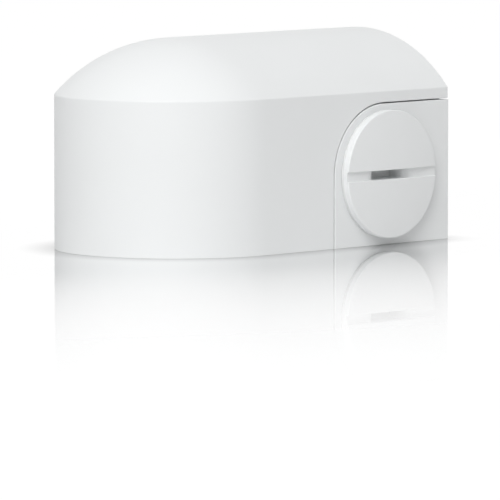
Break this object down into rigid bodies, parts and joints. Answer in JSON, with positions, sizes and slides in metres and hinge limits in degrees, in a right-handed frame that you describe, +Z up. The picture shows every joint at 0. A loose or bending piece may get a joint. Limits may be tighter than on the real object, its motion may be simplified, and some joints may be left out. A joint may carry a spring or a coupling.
{
  "type": "camera conduit adapter",
  "caption": "Domed, D-shaped camera conduit adapter: a sliding hood over a flat base, with coin-slotted screw plugs in its threaded side conduit entries.",
  "frame": {"origin": "middle of the outer box, in the plane of the wall face (the flat foot)", "axes": "+Z up from the wall face, +Y towards the flat camera face, the rounded nose towards -Y, +X across to the right plug"},
  "size_m": [0.0694, 0.0996, 0.0538],
  "materials": {
    "base_plastic": "satin moulded, fine texture",
    "cover_plastic": "satin moulded, fine texture",
    "plug_plastic": "satin moulded",
    "plug_washer": "matt white silicone",
    "seal_rubber": "matt",
    "gasket_foam": "closed-cell foam",
    "screw_steel": "turned stainless",
    "insert_brass": "knurled",
    "grommet_rubber": "matt",
    "clamp_plastic": "glass-filled, dark grey"
  },
  "bodies": {
    "base": {"base": "base_plastic", "cover_seal": "seal_rubber", "side_seal_left": "seal_rubber", "side_seal_right": "seal_rubber", "wall_gasket": "gasket_foam", "rear_gasket": "gasket_foam", "bracket_inserts": "insert_brass", "cable_grommet": "grommet_rubber", "grommet_clamp": "clamp_plastic", "clamp_screws": "screw_steel", "wall_entry_bung": "grommet_rubber"},
    "cover": {"cover": "cover_plastic", "cover_inserts": "insert_brass"},
    "right_plug_washer": {"plug_washer_right": "plug_washer"},
    "right_plug": {"plug_right": "plug_plastic"},
    "right_screw_ring": {"screw_seal_right": "seal_rubber"},
    "right_screw": {"cover_screw_right": "screw_steel"},
    "left_plug_washer": {"plug_washer_left": "plug_washer"},
    "left_plug": {"plug_left": "plug_plastic"},
    "left_screw_ring": {"screw_seal_left": "seal_rubber"},
    "left_screw": {"cover_screw_left": "screw_steel"}
  },
  "joints": [
    {"name": "cover_slide", "type": "slide", "parent": "base", "child": "cover", "axis": [0, -1, 0], "range_m": [0, 0.1]},
    {"name": "right_plug_travel", "type": "slide", "parent": "base", "child": "right_plug_washer", "axis": [1, 0, 0], "range_m": [0, 0.00907]},
    {"name": "right_plug_turn", "type": "hinge", "parent": "right_plug_washer", "child": "right_plug", "pos_m": [0.03125, 0.02585, 0.01825], "axis": [1, 0, 0], "range_deg": [0, 1800]},
    {"name": "right_screw_travel", "type": "slide", "parent": "base", "child": "right_screw_ring", "axis": [0, 1, 0], "range_m": [0, 0.008]},
    {"name": "right_screw_turn", "type": "hinge", "parent": "right_screw_ring", "child": "right_screw", "pos_m": [0.013, 0.0474, 0.04], "axis": [0, 1, 0], "range_deg": [0, 5760]},
    {"name": "left_plug_travel", "type": "slide", "parent": "base", "child": "left_plug_washer", "axis": [-1, 0, 0], "range_m": [0, 0.00907]},
    {"name": "left_plug_turn", "type": "hinge", "parent": "left_plug_washer", "child": "left_plug", "pos_m": [-0.03125, 0.02585, 0.01825], "axis": [-1, 0, 0], "range_deg": [0, 1800]},
    {"name": "left_screw_travel", "type": "slide", "parent": "base", "child": "left_screw_ring", "axis": [0, 1, 0], "range_m": [0, 0.008]},
    {"name": "left_screw_turn", "type": "hinge", "parent": "left_screw_ring", "child": "left_screw", "pos_m": [-0.013, 0.0474, 0.04], "axis": [0, 1, 0], "range_deg": [0, 5760]}
  ],
  "couplings": [
    {"joint": "right_plug_turn", "follows": "right_plug_travel", "rad_per_m": 3463.1},
    {"joint": "right_screw_turn", "follows": "right_screw_travel", "rad_per_m": 12566},
    {"joint": "left_plug_turn", "follows": "left_plug_travel", "rad_per_m": 3463.1},
    {"joint": "left_screw_turn", "follows": "left_screw_travel", "rad_per_m": 12566}
  ]
}
